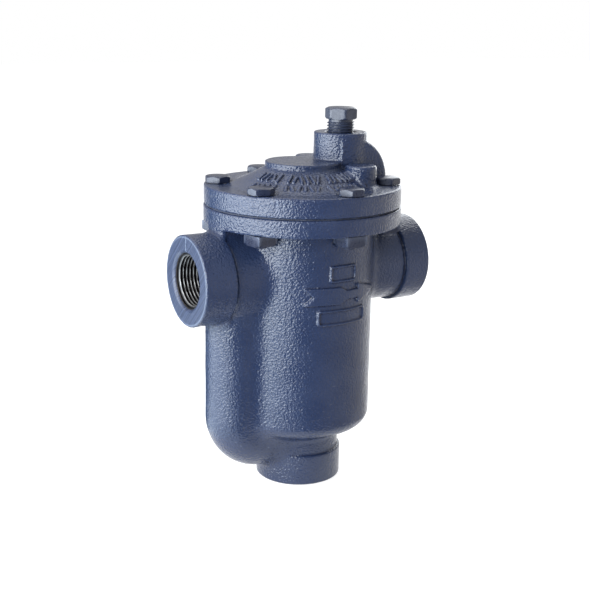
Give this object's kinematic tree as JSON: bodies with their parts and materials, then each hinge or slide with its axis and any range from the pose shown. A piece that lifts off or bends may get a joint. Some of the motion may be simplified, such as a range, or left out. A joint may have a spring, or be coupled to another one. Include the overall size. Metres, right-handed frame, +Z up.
{
  "type": "steam trap",
  "caption": "Inverted-bucket steam trap: cast cup with in-line threaded side ports and a raised inlet rib, bolted cap with outlet elbow and test plug, bucket, lever and valve inside.",
  "frame": {"origin": "centre of the bottom boss's face", "axes": "+Z up through the cap, +X the direction of flow from inlet port to outlet port, +Y across"},
  "size_m": [0.127, 0.097, 0.1866],
  "materials": {
    "casting_paint": "semi-gloss blue paint over a coarse sand-cast grain",
    "fastener_paint": "semi-gloss blue paint over smooth forged steel",
    "plug_paint": "semi-gloss blue paint, thread crests worn to steel",
    "gasket": "matt graphite sheet",
    "stainless": "brushed stainless steel",
    "inlet_tube_steel": "drawn steel tube, slightly dulled"
  },
  "bodies": {
    "root": {"body": "casting_paint", "cap": "casting_paint", "cap_gasket": "gasket", "cap_bolt_1": "fastener_paint", "cap_bolt_2": "fastener_paint", "cap_bolt_3": "fastener_paint", "cap_bolt_4": "fastener_paint", "cap_bolt_5": "fastener_paint", "cap_bolt_6": "fastener_paint", "cap_nut_1": "fastener_paint", "cap_nut_2": "fastener_paint", "cap_nut_3": "fastener_paint", "cap_nut_4": "fastener_paint", "cap_nut_5": "fastener_paint", "cap_nut_6": "fastener_paint", "valve_seat": "stainless", "guide_pin_1": "stainless", "guide_pin_2": "stainless", "inlet_tube": "inlet_tube_steel"},
    "float_bucket": {"bucket": "stainless", "bucket_clip": "stainless"},
    "lever": {"valve_lever": "stainless", "valve": "stainless"},
    "plug": {"test_plug": "plug_paint"}
  },
  "joints": [
    {"name": "bucket_lift", "type": "slide", "parent": "root", "child": "float_bucket", "axis": [0, 0, 1], "range_m": [0, 0.0072]},
    {"name": "lever_pivot", "type": "hinge", "parent": "root", "child": "lever", "pos_m": [0.026, 0, 0.134], "axis": [0, 1, 0], "range_deg": [0, 16]},
    {"name": "plug_lift", "type": "slide", "parent": "root", "child": "plug", "axis": [0, 0, 1], "range_m": [0, 0.022]}
  ],
  "couplings": [
    {"joint": "lever_pivot", "follows": "bucket_lift", "rad_per_m": 38.7}
  ]
}
